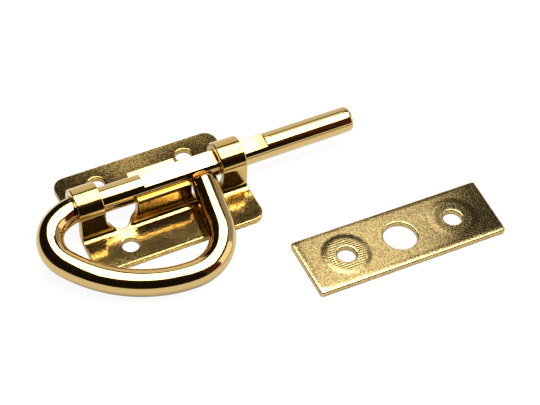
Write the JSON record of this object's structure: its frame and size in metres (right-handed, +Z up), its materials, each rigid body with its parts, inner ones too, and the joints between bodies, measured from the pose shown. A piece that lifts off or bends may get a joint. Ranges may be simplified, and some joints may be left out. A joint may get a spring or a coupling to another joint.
{
  "type": "bunk latch",
  "caption": "Small slide bolt with bright brass plating: a formed base plate whose loops carry a bent rod with a D handle, with its flat strike plate.",
  "frame": {"origin": "centre of the base plate's four screw holes, on the mounting face", "axes": "+X along the bolt towards its tip, +Y to the back, away from the lowered handle, +Z up from the mounting face"},
  "size_m": [0.1053, 0.0588, 0.0124],
  "materials": {
    "plated_sheet": "bright plating over rolled sheet, fine grain on the flat faces",
    "plated_rod": "polished bright plating",
    "plated_strip": "bright plating with a fine grain"
  },
  "bodies": {
    "latch": {"latch_plate": "plated_sheet", "strike_plate": "plated_strip"},
    "bolt": {"bolt_handle": "plated_rod"}
  },
  "joints": [
    {"name": "handle_turn", "type": "hinge", "parent": "latch", "child": "bolt", "pos_m": [0, 0, 0.0075], "axis": [-1, 0, 0], "range_deg": [0, 198.9]}
  ]
}
